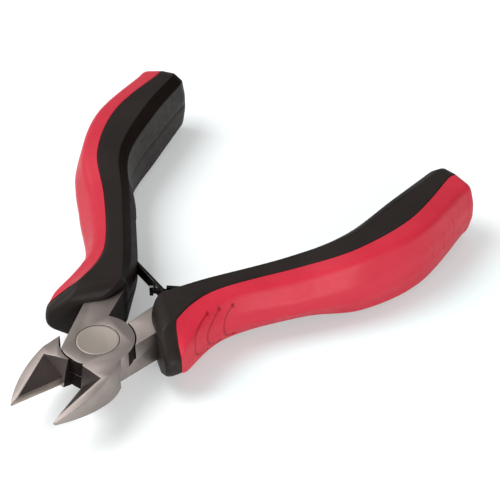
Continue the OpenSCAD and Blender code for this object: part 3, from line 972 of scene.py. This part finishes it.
@dataclass
class Grip:
    """One two-colour grip: a black sleeve with a thumb guard and a red outer panel."""

    half: Half
    shape: GripShape = field(default_factory=GripShape)
    side_places: int = 64
    collar_middle: float = 0.6
    sweep_count: int = 36
    body_count: int = 170
    panel_stations: tuple[float, float] = (1.3, 3.8)
    panel_counts: tuple[int, int, int] = (150, 80, 90)
    mark_margin: int = 3
    pocket_ease: float = 0.02
    tang_places: int = 38
    window_stations: tuple[float, float] = (1.0, 2.0)
    window_places: int = 21
    window_past: float = 1.0
    window_sink: float = 0.5
    marks: tuple[MouldedMark, ...] = FRONT_MARKS + TAIL_MARKS
    # Depth at which a groove's painted shade is full.
    full_depth: float = 0.15
    shaded_rows: int = 128
    collar_rows: int = 3
    flash_places: int = 2

    def sleeve_rings(self) -> Array:
        """Draw the rings of the sleeve from its front to its tail."""
        g = self.shape
        zero, tail = np.zeros(1), np.full(1, g.tail_station)
        collar_t = np.array([0.0, g.collar_station * self.collar_middle, g.collar_station])
        collar = g.closed(g.sleeve_chain(collar_t, True))
        middle = g.across(collar_t)[1][-1] * g.front_middle_share
        beside = collar[-1, :, 0] > g.parting(collar_t[-1:])[0] - g.seam_lip
        drawn = (collar[-1] - [middle, 0]) * (1 - g.seam_lip / middle) + [middle, 0]
        collar[-1] = np.where(beside[:, None], drawn, collar[-1])
        sweep = np.linspace(g.seam_station, g.parting_sweep, self.sweep_count)
        rest = np.linspace(g.parting_sweep, g.tail_station, self.body_count)[1:]
        body_t = np.concatenate([sweep, rest])
        first = g.closed(g.sleeve_chain(zero, True))
        front = g.dome(first, 0.0, -g.front_dome, g.front_flat_share, g.front_middle_share,
                       g.softened(first, g.front_round))
        end = g.dome(g.closed(g.sleeve_chain(tail, False)), g.tail_station, g.tail_dome,
                     g.tail_flat_share, g.tail_middle_share)
        return np.concatenate([
            front[::-1],
            g.set_up(collar, collar_t),
            g.set_up(g.closed(g.sleeve_chain(body_t, False)), body_t),
            end,
        ])

    def panel_rings(self) -> Array:
        """Draw the rings of the panel from its seam to its tail."""
        g = self.shape
        ends = (g.seam_station, *self.panel_stations, g.tail_station)
        spans = zip(ends[:-1], ends[1:], self.panel_counts)
        fine, plain, rear = [np.linspace(low, high, count) for low, high, count in spans]
        t = np.concatenate([fine[:1], fine, plain[1:], rear[1:]])
        ring = g.closed(g.panel_chain(t, self.side_places))
        place = g.parting(t)[0][0] + g.seam_gap
        lip = np.minimum(g.seam_lip, ring[0, :, 0] - place)
        ring[0, :, 0] -= lip
        ring[0, :, 1] -= np.sign(ring[0, :, 1]) * np.minimum(g.seam_lip, np.abs(ring[0, :, 1]))
        body = g.set_up(ring, t)
        tail = np.full(1, g.tail_station)
        end = g.dome(g.closed(g.panel_chain(tail, self.side_places)), g.tail_station, g.tail_dome,
                     g.tail_flat_share, g.tail_middle_share)
        return np.concatenate([body, end])

    def pressed(self, rings: Array) -> tuple[Array, Array]:
        """Press the moulded marks into the panel's outer side.

        Args:
            rings: Points of the panel as rings by places by 3.

        Returns:
            The points with the marks, and how deep each lies.
        """
        middle = rings.shape[1] // 2
        spine = rings[:, middle]
        reach = run(rings)
        v = reach[:, middle, None] - reach
        u = np.broadcast_to(run(spine)[:, None], v.shape)
        normal = unit(np.cross(np.gradient(rings, axis=1), np.gradient(rings, axis=0)))
        outward = spine - rings[:, [0, -1]].mean(axis=1)
        normal *= np.sign((normal[:, middle] * outward).sum(axis=-1))[:, None, None]
        depth = np.zeros_like(v)
        for mark in self.marks:
            depth = np.maximum(depth, mark.fall(u, v))
        depth[:, :self.mark_margin] = 0
        depth[:, -self.mark_margin:] = 0
        return rings - normal * depth[..., None], depth

    def prism(self, name: str, plan: Array, low: float, high: float) -> Piece:
        """Make an upright solid on a plan, to carve with.

        Args:
            name: Name of the solid.
            plan: Rows of x and y, closed pose.
            low: Lower height.
            high: Upper height.

        Returns:
            The solid.
        """
        rings = np.stack([
            np.concatenate([plan, np.full((len(plan), 1), z)], axis=1) for z in (low, high)])
        return loft(f"{self.half.value}_{name}", rings, self.half)

    def pockets(self) -> list[Piece]:
        """Make the solids of the tang pocket and of the spring's window."""
        g = self.shape
        ease = self.pocket_ease
        t = np.linspace(0, g.tang_last, self.tang_places)
        tang = np.concatenate([g.tang_edge(t, ease), g.tang_edge(t, g.tang_width - ease)[::-1]])
        half = g.tang_thick / 2 - ease
        t = np.linspace(*self.window_stations, self.window_places)
        before = g.tang_edge(t, -g.tang_wall - self.window_past)
        window = np.concatenate([before, g.tang_edge(t, self.window_sink)[::-1]])
        tall = g.window_height / 2
        return [
            self.prism("tang_pocket", tang, MID_Z - half, MID_Z + half),
            self.prism("spring_window", window, MID_Z - tall, MID_Z + tall),
        ]

    def mark_band(self, sleeve: Piece, size: Sequence[int]) -> None:
        """Give the front of the inner side, and the inner chamfer band back to the tail, their own
        slot: a darker copy of the sleeve's finish, painted shade.

        Args:
            sleeve: The sleeve before its pockets are carved.
            size: Count of its rings, of places in a ring and of axes.
        """
        g = self.shape
        rows, across = size[:2]
        corner = g.corner_steps + 1
        low = self.flash_places + corner + g.corner_steps // 2
        high = low + corner
        first = g.dome_steps + self.collar_rows
        for polygon in sleeve.data.polygons[:(rows - 1) * across]:
            row, place = divmod(polygon.index, across)
            place = min(place, across - 1 - place)
            start = 0 if row < self.shaded_rows else low
            polygon.material_index = int(start <= place < (low if row < first else high))

    def build(self, finishes: Finishes) -> list[Piece]:
        """Build and dress the grip.

        Args:
            finishes: The finishes of the cutters.

        Returns:
            Its sleeve and its panel.
        """
        side = self.half.value
        rings = self.sleeve_rings()
        sleeve = loft(f"{side}_sleeve", rings, self.half)
        for key in ("sleeve", "band"):
            sleeve.data.materials.append(finishes.of(key))
        self.mark_band(sleeve, rings.shape)
        carve(sleeve, self.pockets())
        smooth(sleeve, MOULDED_SHARP)
        rings, depth = self.pressed(self.panel_rings())
        panel = loft(f"{side}_panel", rings, self.half)
        # Store how deep each point lies, to paint shade into the grooves.
        layer = panel.data.attributes.new(GROOVE_SHADE_LAYER, "FLOAT", "POINT")
        share = np.minimum(1, depth.ravel() / self.full_depth)
        layer.data.foreach_set("value", share.astype(np.float32))
        panel.data.materials.append(finishes.of("panel"))
        for piece, slot in ((sleeve, "sleeve_black"), (panel, "panel_red")):
            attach(piece, self.half.body)
        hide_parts(f"{side}_grip_sleeve")
        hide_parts(f"{side}_grip_panel")
        return [sleeve, panel]


@dataclass
class Lever:
    """One forged lever, with dark ground pockets, bright lands and softened edges."""

    half: Half
    edge: float = 0.14
    edge_angle: float = 24.0
    edge_rise: float = 12.53
    bevel_angle: float = 41.0
    land_angle: float = 66.0
    pocket_turn: float = 23.0
    pocket_lean: float = 15.0
    joint_reach: float = 8.9
    shank_start: float = 6.0
    steep: float = 0.4
    inward: float = -0.5
    outward: float = 0.6
    same_way: float = 0.998

    def is_wall(self, middle: Vector, normal: Vector) -> bool:
        """Tell whether a face is a wall of the joint or of the shank's inner side, which takes a
        near-black painted shade.

        Args:
            middle: Middle of the face, in millimetres.
            normal: Its normal.

        Returns:
            True for such a wall.
        """
        if abs(normal.z) > self.steep:
            return False
        sideways = normal.y * self.half.side
        if middle.x > self.shank_start and sideways < self.inward:
            return True
        outward = sideways if middle.x > 0 else -sideways
        return middle.xy.length < self.joint_reach and outward < self.outward

    def cut_normal(self, normal: Vector) -> Vector:
        """Turn a normal of the jaw's cuts to where this half stands.

        Args:
            normal: The normal as drawn on the +Y side of the closed jaws.

        Returns:
            The normal in the open pose.
        """
        row = np.array([[normal.x, -normal.y, normal.z]])
        return Vector(self.half.opened(row)[0])

    def ground_faces(self) -> list[tuple[Vector, SteelSlot]]:
        """List the normals of ground faces with their material slots."""
        rise, up = turned(self.edge_rise, "Y"), Vector((0, 0, 1))
        bevel = rise @ turned(self.bevel_angle, "X") @ up
        land = rise @ turned(self.land_angle, "X") @ up
        wall = turned(self.pocket_turn, "Z") @ turned(self.pocket_lean, "Y") @ Vector((-1, 0, 0))
        slots = ((bevel, SteelSlot.POCKET), (wall, SteelSlot.POCKET), (land, SteelSlot.LAND))
        return [(self.cut_normal(normal), slot) for normal, slot in slots]

    @staticmethod
    def darken_edges(lever: Piece) -> None:
        """Give roundings that border only dark faces the finish of those faces."""
        with editing(lever.data) as work:
            for face in [f for f in work.faces if f.material_index == SteelSlot.EDGE]:
                beside = {other.material_index for edge in face.edges for other in edge.link_faces}
                if not beside & {SteelSlot.LEVER, SteelSlot.LAND}:
                    face.material_index = max(beside - {SteelSlot.EDGE}, default=SteelSlot.WALL)

    def build(self, finishes: Finishes) -> Piece:
        """Build and dress the lever.

        Args:
            finishes: The finishes of the cutters.

        Returns:
            The lever.
        """
        node = "upper_lever" if self.half is Half.LEFT else "lower_lever"
        lever = cad_copy(node, f"{node}_steel", self.edge, SteelSlot.EDGE, self.edge_angle)
        ground = self.ground_faces()
        for polygon in lever.data.polygons:
            for normal, slot in ground:
                if polygon.normal.dot(normal) > self.same_way:
                    polygon.material_index = slot
            # Walls in the gaps of the joint and between the handles take the near-black finish:
            # painted shade.
            plain = polygon.material_index == SteelSlot.LEVER
            if plain and self.is_wall(polygon.center / MM, polygon.normal):
                polygon.material_index = SteelSlot.WALL
        for slot in SteelSlot:
            lever.data.materials.append(finishes.of(slot.name.lower()))
        settle(lever)
        self.darken_edges(lever)
        smooth(lever, STEEL_SHARP)
        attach(lever, self.half.body)
        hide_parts(node)
        return lever


def turned_edge(radius: float, level: float, soft: float, up: int) -> list[tuple[float, float]]:
    """Give the outline of a rounded rim, from the flank to the flat face.

    Args:
        radius: Radius of the disc.
        level: Height of its flat face.
        soft: Radius of the rounding.
        up: 1 for an upper face, -1 for a lower one.

    Returns:
        Places of radius and height.
    """
    return [
        (radius - soft + soft * math.cos(a), level - up * soft + up * soft * math.sin(a))
        for a in np.linspace(0, math.pi / 2, RIM_STEPS)]


@dataclass
class PivotRivet:
    """The large flush rivet of the lap joint."""

    head_d: float = 8.9
    head_depth: float = 1.6
    shaft_d: float = 5.6
    back_d: float = 7.8
    back_depth: float = 1.3
    soft: float = 0.16
    ring: float = 0.55
    ring_slope: float = 0.15
    dish: float = 0.03
    hub: float = 0.05
    hub_dip: float = 0.01
    places: int = 96
    face_limit: float = 0.9

    def build(self, finishes: Finishes) -> Piece:
        """Build and dress the rivet.

        Args:
            finishes: The finishes of the cutters.

        Returns:
            The rivet.
        """
        head, back = self.head_d / 2, self.back_d / 2
        profile = [(self.hub, 0.0)]
        profile += turned_edge(back, 0.0, self.soft, -1)[::-1]
        profile += [(back, self.back_depth), (self.shaft_d / 2, self.back_depth)]
        profile += [(self.shaft_d / 2, JOINT_THICK - self.head_depth)]
        profile += [(head, JOINT_THICK - self.head_depth)]
        profile += turned_edge(head, JOINT_THICK, self.soft, 1)
        inner = head - self.ring
        profile += [(inner, JOINT_THICK), (inner - self.ring_slope, JOINT_THICK - self.dish)]
        profile += [(self.hub, JOINT_THICK - self.hub_dip)]
        rivet = loft("pivot_rivet_steel", lathe(profile, self.places), None, STEEL_SHARP)
        for key in ("rivet", "rim"):
            rivet.data.materials.append(finishes.of(key))
        # Rim and flanks take the darker rim finish: painted shade round the rivet.
        for polygon in rivet.data.polygons:
            polygon.material_index = int(abs(polygon.normal.z) < self.face_limit)
        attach(rivet, Half.RIGHT.body)
        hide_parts("pivot_rivet")
        return rivet


@dataclass
class LeafSpring:
    """A black leaf that is fixed on one tang and hooked into the other leaf."""

    half: Half
    edge: float = 0.07
    edge_angle: float = 40.0
    root_x: float = 27.0
    root_y: float = 9.0
    hook_x: float = 22.5
    glint_reach: float = 2.4
    glint_face: float = 1.2

    def build(self, finishes: Finishes) -> Piece:
        """Build and dress the spring.

        Args:
            finishes: The finishes of the cutters.

        Returns:
            The spring.
        """
        node = f"{self.half.value}_spring"
        spring = cad_copy(
            node, f"{node}_leaf", self.edge, LeafSlot.SPRING_EDGE, self.edge_angle)
        for slot in LeafSlot:
            spring.data.materials.append(finishes.of(slot.name.lower()))
        settle(spring)
        # Small faces at the hook take the bright edge steel: a painted glint.
        hook = Vector((self.hook_x * MM, 0))
        for polygon in spring.data.polygons:
            small = polygon.area < self.glint_face * MM * MM
            if small and (polygon.center.xy - hook).length < self.glint_reach * MM:
                polygon.material_index = LeafSlot.EDGE
        smooth(spring, STEEL_SHARP)
        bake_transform(spring)
        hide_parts(node)
        return spring


@dataclass
class SpringRivet:
    """The small rivet that holds a leaf on its tang."""

    half: Half

    def build(self, finishes: Finishes) -> Piece:
        """Dress the rivet's CAD node.

        Args:
            finishes: The finishes of the cutters.

        Returns:
            The rivet.
        """
        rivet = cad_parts[f"{self.half.value}_spring_rivet"]
        rivet.data.materials.clear()
        rivet.data.materials.append(finishes.of("lever"))
        return rivet


@dataclass(frozen=True)
class SoftLamp:
    """A soft square lamp, with places in millimetres and its power in watts."""

    name: str
    place: Triple
    aim: Triple
    power: float
    size: float


@dataclass
class Studio:
    """Pale floor, soft light and the camera."""

    camera_place: Triple = (-261.4, -199.4, 300.1)
    camera_aim: Triple = (51.03, -4.37, -3.5)
    camera_roll: float = -0.63
    lens: float = 157.68
    sensor: float = 36.0
    clip: tuple[float, float] = (0.01, 20.0)
    floor_half: float = 3000.0
    floor_drop: float = 0.01
    floor_rough: float = 0.9
    floor_colour: str = "dfe4e4"
    # Cooler floor colour beside the right panel, painted to take back the red light that the panel
    # throws on the floor.
    floor_cool: str = "d0e3e3"
    panel_foot: Triple = (5.2, -16.5, 0.0)
    panel_way: Triple = (0.937, -0.348, 0.0)
    panel_out: Triple = (-0.348, -0.937, 0.0)
    panel_spans: tuple[tuple[float, float], ...] = ((-6, 12), (92, 66), (-12, 2), (40, 8))
    floor_lift: float = 0.29
    room_level: float = 0.2
    glow_level: float = 0.45
    glow_way: Triple = (0.45, 0.62, 0.64)
    glow_fade: tuple[float, float] = (0.1, 1.0)
    lamps: tuple[SoftLamp, ...] = (
        SoftLamp("key", (-140, 330, 540), (30, 0, 0), 4.3, 450),
        SoftLamp("front", (-260, -420, 150), (30, -10, 0), 2.4, 350),
    )

    def floor(self) -> None:
        """Lay the floor, which camera and glossy rays see as white."""
        reach = self.floor_half * MM
        level = (FLOOR_Z - self.floor_drop) * MM
        mesh = bpy.data.meshes.new("floor")
        corners = [(x * reach, y * reach, level) for x, y in ((-1, -1), (1, -1), (1, 1), (-1, 1))]
        mesh.from_pydata(corners, [], [(0, 1, 2, 3)])
        obj = placed("floor", mesh)
        bench = NodeBench("floor_paper")
        bench.set(Roughness=self.floor_rough, Specular_IOR_Level=0.0)
        cool = bench.add("ShaderNodeMixRGB",
                         Color1=linear(self.floor_colour), Color2=linear(self.floor_cool))
        bench.link(self.beside_panel(bench), cool.inputs["Fac"])
        bench.drive("Base Color", cool.outputs["Color"])
        light = bench.add("ShaderNodeEmission", Color=WHITE)
        lift = bench.math("MULTIPLY", self.seen(bench), self.floor_lift)
        bench.link(lift, light.inputs["Strength"])
        both = bench.add("ShaderNodeAddShader")
        bench.link(bench.shader.outputs["BSDF"], both.inputs[0])
        bench.link(light.outputs["Emission"], both.inputs[1])
        bench.link(both.outputs["Shader"], bench.output.inputs["Surface"])
        mesh.materials.append(bench.material)

    def beside_panel(self, bench: NodeBench) -> Socket:
        """Give 1 on the floor beside the right panel, whose red glow the floor takes back.

        Args:
            bench: The floor's nodes.

        Returns:
            The share, fading to 0 away from the panel.
        """
        ways = (self.panel_way, self.panel_way, self.panel_out, self.panel_out)
        share = None
        for way, (outside, inside) in zip(ways, self.panel_spans):
            start = Vector(way).dot(Vector(self.panel_foot))
            fade = bench.fade(bench.coordinates, way,
                              From_Min=(start + outside) * MM, From_Max=(start + inside) * MM)
            share = fade if share is None else bench.math("MULTIPLY", share, fade)
        return share

    @staticmethod
    def seen(wires: Wiring) -> Socket:
        """Give 1 for rays from the camera, off gloss or through glass."""
        rays = wires.add("ShaderNodeLightPath").outputs
        total = rays["Is Camera Ray"]
        for name in ("Is Glossy Ray", "Is Transmission Ray"):
            total = wires.math("MAXIMUM", total, rays[name])
        return total

    def sky(self) -> None:
        """Light the dim room by a broad glow from behind, with a white view."""
        world = bpy.data.worlds.new("studio")
        world.use_nodes = True
        bpy.context.scene.world = world
        wires = Wiring(world.node_tree)
        places = wires.add("ShaderNodeTexCoord").outputs["Generated"]
        low, high = self.glow_fade
        level = wires.fade(places, Vector(self.glow_way).normalized(), From_Min=low, From_Max=high,
                           To_Min=self.room_level, To_Max=self.glow_level)
        room, view = [wires.add("ShaderNodeBackground", Color=WHITE) for _ in range(2)]
        wires.link(level, room.inputs["Strength"])
        choose = wires.add("ShaderNodeMixShader")
        rays = wires.add("ShaderNodeLightPath").outputs
        wires.link(rays["Is Camera Ray"], choose.inputs["Fac"])
        wires.link(room.outputs["Background"], choose.inputs[1])
        wires.link(view.outputs["Background"], choose.inputs[2])
        output = wires.add("ShaderNodeOutputWorld")
        wires.link(choose.outputs["Shader"], output.inputs["Surface"])

    def hang(self, lamp: SoftLamp) -> None:
        """Hang one of the lamps."""
        data = bpy.data.lights.new(lamp.name, "AREA")
        data.energy = lamp.power
        data.size = lamp.size * MM
        self.look(placed(lamp.name, data), lamp.place, lamp.aim)

    @staticmethod
    def look(obj: Piece, place: Sequence[float], aim: Sequence[float],
             roll: float = 0.0) -> None:
        """Put an object at a place and turn it to an aim.

        Args:
            obj: Camera or lamp.
            place: Where it stands, in millimetres.
            aim: Where it points, in millimetres.
            roll: Turn about its own view axis in degrees.
        """
        start, end = Vector(place) * MM, Vector(aim) * MM
        turn = (end - start).to_track_quat("-Z", "Y") @ Quaternion((0, 0, 1), math.radians(roll))
        obj.location = start
        obj.rotation_euler = turn.to_euler()

    def build(self) -> None:
        """Set up floor, light and camera."""
        scene = bpy.context.scene
        scene.view_settings.view_transform = "Standard"
        self.floor()
        self.sky()
        for lamp in self.lamps:
            self.hang(lamp)
        data = bpy.data.cameras.new("photo_view")
        data.sensor_width = self.sensor
        data.sensor_fit = "HORIZONTAL"
        data.lens = self.lens
        data.clip_start, data.clip_end = self.clip
        camera = placed("photo_view", data)
        self.look(camera, self.camera_place, self.camera_aim, self.camera_roll)
        scene.camera = camera


def report(piece: Piece) -> None:
    """Log one finished piece."""
    LOG.info("%s: %d faces", piece.name, len(piece.data.polygons))


def main() -> None:
    """Build the cutters and their studio."""
    logging.basicConfig(level=logging.INFO, format="%(message)s")
    finishes = Finishes()
    for half in Half:
        report(Lever(half).build(finishes))
        for piece in Grip(half).build(finishes):
            report(piece)
        report(LeafSpring(half).build(finishes))
        report(SpringRivet(half).build(finishes))
    report(PivotRivet().build(finishes))
    Studio().build()


if __name__ == "__main__":
    main()
